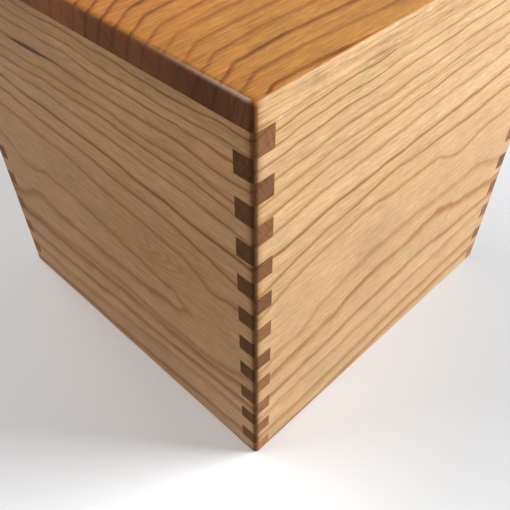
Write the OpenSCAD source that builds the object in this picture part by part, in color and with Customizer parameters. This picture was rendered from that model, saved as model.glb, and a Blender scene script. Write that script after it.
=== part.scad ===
// Cherry puzzle box with finger-jointed corners and a captive sliding lid.
// The lid, with the top three fingers of the back wall glued under it, slides
// straight back on two hidden runners until its catch meets the back wall.
// Two pins that spin outwards and one that drops by its own weight lock a catch
// under the lid.
// X runs to the right, Y to the back, Z up; the origin is in the middle of the
// foot of the box, and the box is drawn shut, with all three pins withdrawn.

/* [Box] */
// Outside width of the box, left to right
box_w = 139.7; // [125:0.1:180]
// Outside depth of the box, front to back
box_d = 139.7; // [125:0.1:180]
// Thickness of the four walls
wall_t = 6.35; // [6:0.05:8]
// Height of one finger of the corner joints
finger_h = 6.35; // [5.8:0.05:8]
// Number of finger levels up each corner, always odd
finger_count = 21; // [17:2:27]
// Radius of the rounded upright corners
corner_r = 1.7; // [0.8:0.1:4]
// Radius along the lower edges that the box stands on
foot_r = 0.5; // [0.3:0.1:1.5]
// Thickness of the bottom panel
panel_t = 4; // [3:0.1:4.6]
// Depth of the grooves that hold the bottom panel
groove_d = 3.2; // [2.5:0.1:4]
// Room for the bottom panel to swell at each of its edges
panel_gap = 0.3; // [0.2:0.05:0.8]

/* [Lid] */
// Thickness of the lid
lid_t = 7; // [6.5:0.1:10]
// Radius along the lid's top edges
lid_edge_r = 1.6; // [0.8:0.1:3]
// Air between the lid and the tops of the walls
lid_gap = 0.1; // [0.05:0.05:0.4]
// Finger levels of the back wall that belong to the lid, always odd
tail_fingers = 3; // [3:2:5]
// Sliding clearance round the fingers of the lid's tail
tail_gap = 0.12; // [0.05:0.01:0.3]
// Diameter of the dowels between the lid and its tail
dowel_d = 3.2; // [2.5:0.1:4]
// Depth of each dowel in the tail
dowel_drop = 8; // [5:0.5:12]
// Depth that dowels and screws reach up into the lid
lid_bite = 4.5; // [3:0.1:5]

/* [Rails and runners] */
// Thickness of the rails on the side walls
rail_t = 6; // [5:0.1:8]
// Height of the rails
rail_h = 16; // [15:0.1:20]
// Depth of the groove in each rail
rail_groove_d = 3; // [2:0.1:3.5]
// Height of the groove in each rail
rail_groove_h = 3.4; // [2.6:0.1:4]
// Distance from the top of the walls down to the groove
rail_groove_drop = 5; // [4:0.1:6]
// Air between runner and rail, sideways
runner_side_gap = 0.3; // [0.15:0.05:0.5]
// Air above and below the runner's tongue
tongue_gap = 0.2; // [0.1:0.05:0.4]
// Thickness of the runners under the lid
runner_t = 6; // [5:0.1:8]
// Height of the runners under the lid
runner_h = 11; // [10:0.1:13]

/* [Catch] */
// Width of the catch's stem
catch_w = 20; // [16:0.5:26]
// Front-to-back size of the catch
catch_d = 16; // [14:0.5:20]
// Depth of the catch below the lid
catch_h = 27; // [26:0.5:32]
// Width of the catch's flange under the lid
flange_w = 40; // [36:0.5:46]
// Thickness of the catch's flange
flange_t = 5; // [4:0.1:6]
// Bevel on the foot of the catch, front and back
catch_lead = 1.5; // [0.5:0.1:2.5]
// Side of the square pin holes in the catch
mortise_w = 6.6; // [6.4:0.1:8]

/* [Lock block] */
// Wood between the slot and the front wall
lock_web = 4; // [3:0.1:6]
// Air round the catch in its slot
lock_gap = 0.4; // [0.2:0.05:0.8]
// Air under the catch
catch_foot_gap = 1; // [0.5:0.1:1.5]
// Wood that stands out past the back of the catch
lock_lip = 1.6; // [0.5:0.1:4]
// Air between the lock block and the lid
lock_top_gap = 0.5; // [0.3:0.05:0.9]
// Bevel along the lower edges of the lock block
lock_bevel = 2; // [0.5:0.1:3]

/* [Pins] */
// Diameter of the steel lock pins
pin_d = 5; // [4:0.1:5.4]
// Length of the two spinning pins
spin_pin_l = 18; // [16:0.5:22]
// Length of the drop pin
drop_pin_l = 12; // [10:0.5:16]
// Distance from the lid down to the spinning pins
spin_pin_drop = 13.5; // [12.5:0.1:14.5]
// Radial air between a pin and its sleeve
pin_gap = 0.1; // [0.05:0.01:0.2]
// How far each unlocked pin stands back from the slot
pin_recess = 0.6; // [0.4:0.1:1]
// Air behind each unlocked pin
pin_end_gap = 0.2; // [0.1:0.05:0.5]
// How far each locked pin reaches into the catch
pin_reach = 6; // [4:0.1:6.4]
// Bevel round the ends of the pins
pin_bevel = 0.5; // [0.3:0.1:0.8]
// Wall of the brass sleeves
sleeve_t = 0.9; // [0.6:0.05:1.2]
// Length of the plugs behind the spinning pins
spin_plug_l = 12.7; // [9:0.1:16]
// Length of the plug under the drop pin
drop_plug_l = 4.1; // [3:0.1:8]
// Air past the nose of the drop pin when it is locked
mortise_air = 1; // [0.5:0.1:1.2]

/* [Screws and magnets] */
// Shank diameter of the screws
screw_d = 2.6; // [2:0.1:3]
// Head diameter of the screws
screw_head_d = 4.8; // [4:0.1:5]
// Width of the slot in each screw head
screw_slot_w = 0.6; // [0.4:0.1:0.9]
// Depth of the slot in each screw head
screw_slot_depth = 0.7; // [0.4:0.1:0.8]
// Height of the screws' countersunk heads
screw_head_h = 1.6; // [1.2:0.1:2]
// Reach of the rail and lock screws into the walls
wall_bite = 4; // [3:0.1:5]
// Shank and head of each lock screw inside the lock block
lock_screw_grip = 11; // [9:0.5:14]
// Distance of the lock screws from the sides of the lock block
lock_screw_inset = 5; // [4.5:0.1:7]
// Distance of the upper lock screws below the lid
lock_screw_high = 6; // [5:0.1:6.5]
// Distance of the lower lock screws above the foot of the lock block
lock_screw_low = 7; // [6:0.1:12]
// Wood between the magnets and the catch's flange
magnet_inset = 3; // [1:0.1:4]
// Diameter of the round magnets
magnet_d = 6; // [4:0.5:7]
// Thickness of the round magnets
magnet_t = 2.5; // [2:0.1:3]
// Thickness of the glue round dowels, sleeves, magnets and screws
glue_gap = 0.05; // [0.02:0.01:0.1]

/* [Hidden] */
$fn = 64;

cherry = [0.80, 0.58, 0.39];
cherry_dark = [0.68, 0.45, 0.28];
maple = [0.88, 0.76, 0.58];
brass = [0.80, 0.65, 0.35];
steel = [0.72, 0.73, 0.75];

// A long way, to run a cut right through a piece
through = 400;

// Levels count from 0 at the foot; even levels belong to the front and back
// walls, odd ones to the side walls
side_levels = 1;
end_levels = 0;
panel_level = 1;

// How far a cutter runs past the face that it opens
cut_past = 1;

wall_h = finger_count * finger_h;
inner_w = box_w - 2 * wall_t;
inner_d = box_d - 2 * wall_t;
lid_z = wall_h + lid_gap;
back_levels = finger_count - tail_fingers;

groove_h = panel_t + 2 * glue_gap;
groove_z = (panel_level + 0.5) * finger_h;

rail_x = inner_w / 2 - rail_t;
groove_top = wall_h - rail_groove_drop;
rail_screw_z = wall_h - (rail_groove_drop + rail_groove_h + rail_h) / 2;
runner_x = rail_x - runner_side_gap - runner_t;
screw_rows = [-0.36, 0, 0.36];

catch_y = -inner_d / 2 + lock_web + lock_gap + catch_d / 2;
catch_screw_x = (catch_w + flange_w) / 4;
catch_screw_y = catch_d / 4;

spin_sleeve_l = pin_recess + spin_pin_l + pin_end_gap;
drop_sleeve_l = pin_recess + drop_pin_l + pin_end_gap;
sleeve_d = pin_d + 2 * (pin_gap + sleeve_t);
slot_w = catch_w + 2 * lock_gap;
slot_z = lid_z - catch_h - catch_foot_gap;
lock_w = slot_w + 2 * (spin_sleeve_l + spin_plug_l);
lock_d = lock_web + lock_gap + catch_d + lock_lip;
lock_z = slot_z - drop_sleeve_l - drop_plug_l;
lock_top = lid_z - lock_top_gap;
lock_back_y = -inner_d / 2 + lock_d;
lock_screw_l = lock_screw_grip + wall_bite;
lock_screw_y = -inner_d / 2 + lock_screw_grip;
lock_screw_x = lock_w / 2 - lock_screw_inset;
lock_screw_z = [lock_z + lock_screw_low, lid_z - lock_screw_high];
spin_z = lid_z - spin_pin_drop;
drop_mortise_h = pin_reach + mortise_air;
magnet_x = flange_w / 2 + lock_gap + magnet_d / 2 + magnet_inset;

// Fillets stay a little smaller than the round corners that they run into
top_edge_r = min(lid_edge_r, corner_r - 0.1);
foot_edge_r = min(foot_r, corner_r - 0.1);

// Stepped end of a finger-jointed board, as points of [reach, height]: a long
// level reaches all the way out, and gap keeps it clear of its neighbours
function comb(reach, first, last, top, long, gap = 0) = [
    for (i = [first : last], end = [0, 1])
        let (is_long = i % 2 == long, ease = is_long ? gap : -gap)
        [is_long ? reach : reach - wall_t - gap,
            i == last && end == 1 ? top : (i + end) * finger_h + (1 - 2 * end) * ease]];

// The same points on the other side of the middle line, from the top down
function other_side(points) = [
    for (k = [len(points) - 1 : -1 : 0]) [-points[k][0], points[k][1]]];

// Upright board with stepped ends, its outer face on Y = 0 and its body behind
module comb_board(points, thickness) {
    rotate([90, 0, 0])
        translate([0, 0, -thickness])
            linear_extrude(thickness)
                polygon(concat(points, other_side(points)));
}

// Rectangle with round corners, centred
module round_rectangle(w, d, r) {
    difference() {
        square([w, d], center = true);
        for (sx = [-1, 1], sy = [-1, 1])
            translate([sx * (w / 2 - r), sy * (d / 2 - r)])
                scale([sx, sy])
                    difference() {
                        square(2 * r);
                        circle(r);
                    }
    }
}

// Outline of the whole box seen from above, drawn up to height h
module outline_column(h) {
    linear_extrude(h) round_rectangle(box_w, box_d, corner_r);
}

// What a fillet of radius r takes off an outer upper edge at the origin
module fillet_waste(r) {
    over = 1;
    difference() {
        translate([-r, -r]) square(r + over);
        translate([-r, -r]) circle(r);
    }
}

// Waste of a fillet that runs round the whole box along its upper edge at Z = 0
module fillet_ring(r) {
    run_x = box_w / 2 - corner_r;
    run_y = box_d / 2 - corner_r;
    for (turn = [0 : 3]) {
        along_x = turn % 2 == 1;
        half = along_x ? run_x : run_y;
        reach = along_x ? box_d / 2 : box_w / 2;
        rotate([0, 0, 90 * turn]) {
            translate([reach, half, 0])
                rotate([90, 0, 0]) linear_extrude(2 * half) fillet_waste(r);
            translate([reach - corner_r, half, 0])
                rotate_extrude(angle = 90) translate([corner_r, 0]) fillet_waste(r);
        }
    }
}

// The same waste along the lower edge that the box stands on
module foot_fillet() {
    mirror([0, 0, 1]) fillet_ring(foot_edge_r);
}

// Slotted countersunk screw, its head flush with Z = 0 and its point down
module screw(l) {
    difference() {
        rotate_extrude() screw_outline(l, 0);
        cube([screw_head_d + 2 * cut_past, screw_slot_w, 2 * screw_slot_depth], center = true);
    }
}

module screw_outline(l, ease) {
    rim = 0.3;
    point = 1.6;
    polygon([[0, ease], [screw_head_d / 2 + ease, ease], [screw_head_d / 2 + ease, -rim],
        [screw_d / 2 + ease, -screw_head_h], [screw_d / 2 + ease, -l + point],
        [0.3 + ease, -l - ease], [0, -l - ease]]);
}

// The hole that a screw sits in
module screw_hole(l) {
    rotate_extrude() screw_outline(l, glue_gap);
}

// Lock pin along Z, its nose at Z = 0 and its body below
module pin(l) {
    rotate_extrude()
        polygon([[0, 0], [pin_d / 2 - pin_bevel, 0], [pin_d / 2, -pin_bevel],
            [pin_d / 2, -l + pin_bevel], [pin_d / 2 - pin_bevel, -l], [0, -l]]);
}

// Brass sleeve along Z, its mouth at Z = 0 and its body below
module sleeve(l) {
    translate([0, 0, -l])
        difference() {
            cylinder(h = l, d = sleeve_d);
            translate([0, 0, -cut_past]) cylinder(h = l + 2 * cut_past, d = pin_d + 2 * pin_gap);
        }
}

// Puts a thing drawn down Z on the right spin bore, pointing at the catch
module on_spin_bore(x) {
    translate([x, catch_y, spin_z]) rotate([0, -90, 0]) children();
}

// Puts a thing drawn down Z on the drop bore, pointing up at the catch
module on_drop_bore(z) {
    translate([0, catch_y, z]) children();
}

// Places of the screws, each with the head outwards and the shank down Z
module at_rail_screws() {
    for (row = screw_rows)
        translate([rail_x, row * inner_d, rail_screw_z]) rotate([0, -90, 0]) children();
}

module at_runner_screws() {
    for (row = screw_rows)
        translate([runner_x + runner_t / 2, row * inner_d, lid_z - runner_h])
            rotate([180, 0, 0]) children();
}

module at_catch_screws() {
    for (sx = [-1, 1], sy = [-1, 1])
        translate([sx * catch_screw_x, catch_y + sy * catch_screw_y, lid_z - flange_t])
            rotate([180, 0, 0]) children();
}

module at_lock_screws() {
    for (sx = [-1, 1], z = lock_screw_z)
        translate([sx * lock_screw_x, lock_screw_y, z]) rotate([-90, 0, 0]) children();
}

module at_dowels() {
    for (row = screw_rows)
        translate([row * inner_w, box_d / 2 - (wall_t - tail_gap) / 2, lid_z - dowel_drop])
            children();
}

module at_magnets(z) {
    for (sx = [-1, 1])
        translate([sx * magnet_x, catch_y, z]) children();
}

// Groove for the bottom panel, stopped short of the outside at all four corners
module panel_groove() {
    translate([0, 0, groove_z])
        cube([inner_w + 2 * groove_d, inner_d + 2 * groove_d, groove_h], center = true);
}

module front_wall() {
    color(cherry)
        difference() {
            intersection() {
                translate([0, -box_d / 2, 0])
                    comb_board(comb(box_w / 2, 0, finger_count - 1, wall_h, end_levels), wall_t);
                outline_column(wall_h);
            }
            foot_fillet();
            panel_groove();
            at_lock_screws() screw_hole(lock_screw_l);
        }
}

module back_wall() {
    top = back_levels * finger_h;
    color(cherry)
        difference() {
            intersection() {
                translate([0, box_d / 2 - wall_t, 0])
                    comb_board(comb(box_w / 2, 0, back_levels - 1, top, end_levels), wall_t);
                outline_column(top);
            }
            foot_fillet();
            panel_groove();
        }
}

module right_wall() {
    color(cherry)
        difference() {
            intersection() {
                translate([box_w / 2, 0, 0])
                    rotate([0, 0, 90])
                        comb_board(comb(box_d / 2, 0, finger_count - 1, wall_h, side_levels), wall_t);
                outline_column(wall_h);
            }
            foot_fillet();
            panel_groove();
            at_rail_screws() screw_hole(rail_t + wall_bite);
        }
}

module left_wall() {
    mirror([1, 0, 0]) right_wall();
}

module bottom_panel() {
    grip = groove_d - panel_gap;
    color(cherry)
        translate([0, 0, groove_z])
            cube([inner_w + 2 * grip, inner_d + 2 * grip, panel_t], center = true);
}

module rail_right() {
    color(maple)
        difference() {
            translate([rail_x, -inner_d / 2, wall_h - rail_h]) cube([rail_t, inner_d, rail_h]);
            translate([rail_x - 1, -through / 2, groove_top - rail_groove_h])
                cube([rail_groove_d + 1, through, rail_groove_h]);
            at_rail_screws() screw_hole(rail_t + wall_bite);
        }
}

module rail_left() {
    mirror([1, 0, 0]) rail_right();
}

module rail_screws_right() {
    color(brass) at_rail_screws() screw(rail_t + wall_bite);
}

module rail_screws_left() {
    mirror([1, 0, 0]) rail_screws_right();
}

module lock_block() {
    head = 8;
    color(maple)
        difference() {
            translate([0, -inner_d / 2 + lock_d, 0])
                rotate([90, 0, 0])
                    linear_extrude(lock_d)
                        polygon([[lock_bevel - lock_w / 2, lock_z], [lock_w / 2 - lock_bevel, lock_z],
                            [lock_w / 2, lock_z + lock_bevel], [lock_w / 2, lock_top],
                            [-lock_w / 2, lock_top], [-lock_w / 2, lock_z + lock_bevel]]);
            // Slot for the catch, open at the back and the top
            translate([-slot_w / 2, -inner_d / 2 + lock_web, slot_z])
                cube([slot_w, lock_d, catch_h + head]);
            // Recess for the catch's flange
            translate([-flange_w / 2 - lock_gap, -inner_d / 2 + lock_web, lid_z - flange_t - lock_gap])
                cube([flange_w + 2 * lock_gap, lock_d, flange_t + head]);
            translate([-through / 2, catch_y, spin_z])
                rotate([0, 90, 0]) cylinder(h = through, d = sleeve_d + 2 * glue_gap);
            translate([0, catch_y, lock_z - cut_past])
                cylinder(h = slot_z - lock_z + 2 * cut_past, d = sleeve_d + 2 * glue_gap);
            at_lock_screws() {
                screw_hole(lock_screw_l);
                cylinder(h = lock_d, d = screw_head_d + 2 * glue_gap);
            }
            at_magnets(lock_top - magnet_t)
                cylinder(h = magnet_t + 1, d = magnet_d + 2 * glue_gap);
        }
}

module lock_screws() {
    color(brass) at_lock_screws() screw(lock_screw_l);
}

module spin_sleeve_right() {
    color(brass) on_spin_bore(slot_w / 2) sleeve(spin_sleeve_l);
}

module spin_sleeve_left() {
    mirror([1, 0, 0]) spin_sleeve_right();
}

module spin_plug_right() {
    color(cherry_dark)
        translate([slot_w / 2 + spin_sleeve_l, catch_y, spin_z])
            rotate([0, 90, 0]) cylinder(h = spin_plug_l, d = sleeve_d);
}

module spin_plug_left() {
    mirror([1, 0, 0]) spin_plug_right();
}

module drop_sleeve() {
    color(brass) on_drop_bore(slot_z) sleeve(drop_sleeve_l);
}

module drop_plug() {
    color(cherry_dark) on_drop_bore(lock_z) cylinder(h = drop_plug_l, d = sleeve_d);
}

module block_magnets() {
    color(steel) at_magnets(lock_top - magnet_t) cylinder(h = magnet_t, d = magnet_d);
}

module lid_panel() {
    color(cherry_dark)
        difference() {
            translate([0, 0, lid_z]) outline_column(lid_t);
            translate([0, 0, lid_z + lid_t]) fillet_ring(top_edge_r);
            for (side = [0, 1])
                mirror([side, 0, 0]) at_runner_screws() screw_hole(runner_h + lid_bite);
            at_catch_screws() screw_hole(flange_t + lid_bite);
            at_dowels() cylinder(h = dowel_drop + lid_bite, d = dowel_d + 2 * glue_gap);
            at_magnets(lid_z - 1) cylinder(h = magnet_t + 1, d = magnet_d + 2 * glue_gap);
        }
}

module lid_tail() {
    color(cherry)
        difference() {
            intersection() {
                translate([0, box_d / 2 - wall_t + tail_gap, 0])
                    comb_board(comb(box_w / 2, back_levels, finger_count - 1, lid_z, end_levels, tail_gap),
                        wall_t - tail_gap);
                outline_column(lid_z);
            }
            at_dowels()
                translate([0, 0, -glue_gap])
                    cylinder(h = dowel_drop + lid_bite, d = dowel_d + 2 * glue_gap);
        }
}

module tail_dowels() {
    color(maple) at_dowels() cylinder(h = dowel_drop + lid_bite - glue_gap, d = dowel_d);
}

module runner_right() {
    tongue_top = groove_top - tongue_gap;
    tongue_foot = groove_top - rail_groove_h + tongue_gap;
    tip = rail_x + rail_groove_d - runner_side_gap;
    side = runner_x + runner_t;
    foot = lid_z - runner_h;
    color(maple)
        difference() {
            rotate([90, 0, 0])
                translate([0, 0, -inner_d / 2])
                    linear_extrude(inner_d - lock_gap)
                        polygon([[runner_x, foot], [side, foot], [side, tongue_foot],
                            [tip, tongue_foot], [tip, tongue_top], [side, tongue_top],
                            [side, lid_z], [runner_x, lid_z]]);
            at_runner_screws() screw_hole(runner_h + lid_bite);
        }
}

module runner_left() {
    mirror([1, 0, 0]) runner_right();
}

module runner_screws_right() {
    color(brass) at_runner_screws() screw(runner_h + lid_bite);
}

module runner_screws_left() {
    mirror([1, 0, 0]) runner_screws_right();
}

module lid_catch() {
    color(cherry_dark)
        difference() {
            union() {
                translate([-flange_w / 2, catch_y - catch_d / 2, lid_z - flange_t])
                    cube([flange_w, catch_d, flange_t]);
                translate([-catch_w / 2, catch_y, lid_z])
                    rotate([90, 0, 90])
                        linear_extrude(catch_w)
                            polygon([[-catch_d / 2, 0], [-catch_d / 2, catch_lead - catch_h],
                                [catch_lead - catch_d / 2, -catch_h], [catch_d / 2 - catch_lead, -catch_h],
                                [catch_d / 2, catch_lead - catch_h], [catch_d / 2, 0]]);
            }
            translate([0, catch_y, spin_z])
                cube([catch_w + 2 * cut_past, mortise_w, mortise_w], center = true);
            translate([-mortise_w / 2, catch_y - mortise_w / 2, lid_z - catch_h - cut_past])
                cube([mortise_w, mortise_w, drop_mortise_h + cut_past]);
            at_catch_screws() screw_hole(flange_t + lid_bite);
        }
}

module catch_screws() {
    color(brass) at_catch_screws() screw(flange_t + lid_bite);
}

module lid_magnets() {
    color(steel) at_magnets(lid_z) cylinder(h = magnet_t - glue_gap, d = magnet_d);
}

module spin_pin_right() {
    color(steel) on_spin_bore(slot_w / 2 + pin_recess) pin(spin_pin_l);
}

module spin_pin_left() {
    mirror([1, 0, 0]) spin_pin_right();
}

module drop_pin() {
    color(steel) on_drop_bore(slot_z - pin_recess) pin(drop_pin_l);
}

front_wall();
back_wall();
left_wall();
right_wall();
bottom_panel();
rail_left();
rail_right();
rail_screws_left();
rail_screws_right();
lock_block();
lock_screws();
spin_sleeve_left();
spin_sleeve_right();
spin_plug_left();
spin_plug_right();
drop_sleeve();
drop_plug();
block_magnets();
lid_panel();
lid_tail();
tail_dowels();
runner_left();
runner_right();
runner_screws_left();
runner_screws_right();
lid_catch();
catch_screws();
lid_magnets();
spin_pin_left();
spin_pin_right();
drop_pin();
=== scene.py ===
"""Looks of the cherry puzzle box: finishes for every board and fitting, the studio and the camera.

Lengths inside the materials are in millimetres, and places in the scene are in metres.
"""

import logging
import math
from dataclasses import dataclass, field, replace
from enum import Enum
from typing import Sequence, Union

import bmesh
import bpy
from mathutils import Matrix, Vector


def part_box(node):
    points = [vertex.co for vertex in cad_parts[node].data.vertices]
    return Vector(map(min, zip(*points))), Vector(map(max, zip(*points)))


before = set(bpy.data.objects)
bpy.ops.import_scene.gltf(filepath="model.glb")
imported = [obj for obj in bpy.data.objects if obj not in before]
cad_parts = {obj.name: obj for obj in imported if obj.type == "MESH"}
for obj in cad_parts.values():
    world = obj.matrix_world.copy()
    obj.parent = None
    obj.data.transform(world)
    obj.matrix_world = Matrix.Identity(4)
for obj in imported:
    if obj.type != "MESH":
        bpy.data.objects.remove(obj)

LOG = logging.getLogger("puzzle_box")
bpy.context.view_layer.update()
FINGER_LEVELS = 21
QUARTERS = 4
MM_PER_M = 1000.0
# Places of the sockets of a Mix node that mixes colours.
MIX_AMOUNT, MIX_UNDER, MIX_OVER, MIX_RESULT = 0, 6, 7, 2

Colour = tuple[float, float, float]
Number = Union["Field", float]


# ---------------------------------------------------------------- shader sheets


class Blend(Enum):
    """The ways that one colour is laid over another."""

    COVER = "MIX"
    SHADE = "MULTIPLY"


class Axis(Enum):
    """The box's own axes: X to the right, Y to the back and Z up."""

    X = 0
    Y = 1
    Z = 2


class Field:
    """One number at each point of a surface, held by the output of a shader node."""

    def __init__(self, sheet: "Sheet", socket: bpy.types.NodeSocket) -> None:
        """Keeps the socket.

        Args:
            sheet: The material sheet that owns the node.
            socket: The output that carries the number.
        """
        self.sheet = sheet
        self.socket = socket

    def __add__(self, other: Number) -> "Field":
        """Adds a number or a field."""
        return self.sheet.math("ADD", self, other)

    def __radd__(self, other: Number) -> "Field":
        """Adds this field to a number."""
        return self.sheet.math("ADD", other, self)

    def __sub__(self, other: Number) -> "Field":
        """Takes away a number or a field."""
        return self.sheet.math("SUBTRACT", self, other)

    def __rsub__(self, other: Number) -> "Field":
        """Takes this field away from a number."""
        return self.sheet.math("SUBTRACT", other, self)

    def __mul__(self, other: Number) -> "Field":
        """Multiplies by a number or a field."""
        return self.sheet.math("MULTIPLY", self, other)

    def __rmul__(self, other: Number) -> "Field":
        """Multiplies a number by this field."""
        return self.sheet.math("MULTIPLY", other, self)

    def __truediv__(self, other: Number) -> "Field":
        """Divides by a number or a field."""
        return self.sheet.math("DIVIDE", self, other)

    def size(self) -> "Field":
        """Drops the sign."""
        return self.sheet.math("ABSOLUTE", self)

    def squared(self) -> "Field":
        """Multiplies the field by itself."""
        return self.sheet.math("MULTIPLY", self, self)

    def root(self) -> "Field":
        """Takes the square root."""
        return self.sheet.math("SQRT", self)

    def step(self, low: float, high: float) -> "Field":
        """Rises smoothly from 0 at low to 1 at high."""
        return self.sheet.smooth(self, low, high)

    def bump(self, centre: float, half_width: float) -> "Field":
        """Makes a soft hill of height 1.

        Args:
            centre: Where the hill peaks.
            half_width: How far from the centre it has fallen to 0.

        Returns:
            The hill, 0 outside half_width.
        """
        return 1.0 - (self - centre).size().step(0.0, half_width)


class Sheet:
    """The node tree of one material, with short calls for the nodes that it uses."""

    def __init__(self, name: str) -> None:
        """Makes the material and reads the surface's own coordinates.

        Args:
            name: The material's name.
        """
        self.material = bpy.data.materials.new(name)
        self.material.use_nodes = True
        self.shares: dict[tuple[str, str, float, float], Field] = {}
        self.tree = self.material.node_tree
        self.shader = self.tree.nodes["Principled BSDF"]
        coords = self.tree.nodes.new("ShaderNodeTexCoord")
        split = self.tree.nodes.new("ShaderNodeSeparateXYZ")
        self.tree.links.new(coords.outputs["Object"], split.inputs[0])
        self.x, self.y, self.z = (Field(self, out) * MM_PER_M for out in split.outputs)
        facing = self.tree.nodes.new("ShaderNodeSeparateXYZ")
        self.tree.links.new(coords.outputs["Normal"], facing.inputs[0])
        self.normal = tuple(Field(self, out) for out in facing.outputs)

    def plug(self, value: Number, socket: bpy.types.NodeSocket) -> None:
        """Links a field to an input, or writes a plain number there.

        Args:
            value: The field or number.
            socket: The input.
        """
        if isinstance(value, Field):
            self.tree.links.new(value.socket, socket)
        else:
            socket.default_value = value

    def math(self, operation: str, *values: Number) -> Field:
        """Adds a Math node.

        Args:
            operation: Blender's name of the operation.
            values: One to three fields or numbers.

        Returns:
            The result.
        """
        node = self.tree.nodes.new("ShaderNodeMath")
        node.operation = operation
        for value, socket in zip(values, node.inputs):
            self.plug(value, socket)
        return Field(self, node.outputs[0])

    def smooth(self, value: Number, low: float, high: float) -> Field:
        """Adds a smooth rise.

        Args:
            value: What rises.
            low: Where the rise starts from 0.
            high: Where it reaches 1.

        Returns:
            The rise.
        """
        node = self.tree.nodes.new("ShaderNodeMapRange")
        node.interpolation_type = "SMOOTHSTEP"
        self.plug(value, node.inputs["Value"])
        node.inputs["From Min"].default_value = low
        node.inputs["From Max"].default_value = high
        return Field(self, node.outputs["Result"])

    def share(self, value: Field, low: float, high: float) -> Field:
        """Turns a stretch into 0 to 1, with one node for each field and stretch.

        Args:
            value: The field.
            low: What becomes 0.
            high: What becomes 1.

        Returns:
            The share.
        """
        key = (value.socket.node.name, value.socket.name, low, high)
        if key not in self.shares:
            self.shares[key] = self.math("DIVIDE", value - low, high - low)
        return self.shares[key]

    def curve(self, value: Field, points: Sequence[tuple[float, float]], straight: bool = False) -> Field:
        """Reads a drawn curve.

        Args:
            value: Where to read it.
            points: The curve's points as (place, height), in rising order of place.
            straight: Whether the curve runs straight from point to point.

        Returns:
            The curve's height, held at its end values outside the points.
        """
        low, high = points[0][0], points[-1][0]
        foot = min(height for _, height in points)
        rise = max(height for _, height in points) - foot
        node = self.tree.nodes.new("ShaderNodeFloatCurve")
        drawn = node.mapping.curves[0]
        while len(drawn.points) < len(points):
            drawn.points.new(0.5, 0.5)
        for point, (place, height) in zip(drawn.points, points):
            point.location = ((place - low) / (high - low), (height - foot) / rise)
            point.handle_type = "VECTOR" if straight else "AUTO_CLAMPED"
        node.mapping.update()
        self.plug(self.share(value, low, high), node.inputs["Value"])
        return Field(self, node.outputs[0]) * rise + foot

    def vector(self, x: Number, y: Number, z: Number) -> bpy.types.NodeSocket:
        """Joins three numbers to a vector.

        Args:
            x: The first number.
            y: The second number.
            z: The third number.

        Returns:
            The vector.
        """
        node = self.tree.nodes.new("ShaderNodeCombineXYZ")
        for value, socket in zip((x, y, z), node.inputs):
            self.plug(value, socket)
        return node.outputs[0]

    def everywhere(self, cells: float) -> bpy.types.NodeSocket:
        """Makes the vector for noise with the same cells for each millimetre in every direction."""
        return self.vector(self.x * cells, self.y * cells, self.z * cells)

    def noise(self, place: bpy.types.NodeSocket, detail: float = 2.0, roughness: float = 0.5) -> Field:
        """Adds seamless noise.

        Args:
            place: The vector that it is read at, one cell per unit.
            detail: How many finer layers it has.
            roughness: How strong the finer layers are.

        Returns:
            The noise, from about -1 to 1.
        """
        node = self.tree.nodes.new("ShaderNodeTexNoise")
        self.tree.links.new(place, node.inputs["Vector"])
        node.inputs["Scale"].default_value = 1.0
        node.inputs["Detail"].default_value = detail
        node.inputs["Roughness"].default_value = roughness
        return Field(self, node.outputs[0]) * 2.0 - 1.0

    def chance(self, value: Field) -> Field:
        """Gives each number its own luck, which stays the same from run to run.

        Args:
            value: The number, the same all over the place that shares one luck.

        Returns:
            The luck, between 0 and 1.
        """
        node = self.tree.nodes.new("ShaderNodeTexWhiteNoise")
        node.noise_dimensions = "1D"
        self.plug(value, node.inputs["W"])
        return Field(self, node.outputs["Value"])

    def paint(self, amount: Number, under: Union[Colour, bpy.types.NodeSocket],
              over: Union[Colour, bpy.types.NodeSocket], blend: Blend = Blend.COVER) -> bpy.types.NodeSocket:
        """Lays one colour over another.

        Args:
            amount: How much of the upper colour shows.
            under: The colour below.
            over: The colour on top.
            blend: The way they mix.

        Returns:
            The mixed colour.
        """
        node = self.tree.nodes.new("ShaderNodeMix")
        node.data_type = "RGBA"
        node.blend_type = blend.value
        node.clamp_factor = True
        self.plug(amount, node.inputs[MIX_AMOUNT])
        for colour, socket in ((under, node.inputs[MIX_UNDER]), (over, node.inputs[MIX_OVER])):
            if isinstance(colour, bpy.types.NodeSocket):
                self.tree.links.new(colour, socket)
            else:
                socket.default_value = (*colour, 1.0)
        return node.outputs[MIX_RESULT]

    def shade(self, colour: Union[Colour, bpy.types.NodeSocket], light: Field) -> bpy.types.NodeSocket:
        """Lightens or darkens a colour, which stays as it is where light is 1."""
        return self.paint(1.0, colour, self.vector(light, light, light), Blend.SHADE)

    def relief(self, height: Field, depth: float) -> None:
        """Raises and lowers the surface by a bump.

        Args:
            height: The relief, about -1 to 1.
            depth: Its depth in metres.
        """
        node = self.tree.nodes.new("ShaderNodeBump")
        node.inputs["Strength"].default_value = 1.0
        node.inputs["Distance"].default_value = depth
        self.plug(height, node.inputs["Height"])
        self.tree.links.new(node.outputs[0], self.shader.inputs["Normal"])


# ---------------------------------------------------------------- wood


class Board(Enum):
    """The walls of the box, each with its own place in the board that wraps round it."""

    FRONT = "front"
    RIGHT = "right"
    BACK = "back"
    LEFT = "left"


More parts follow.
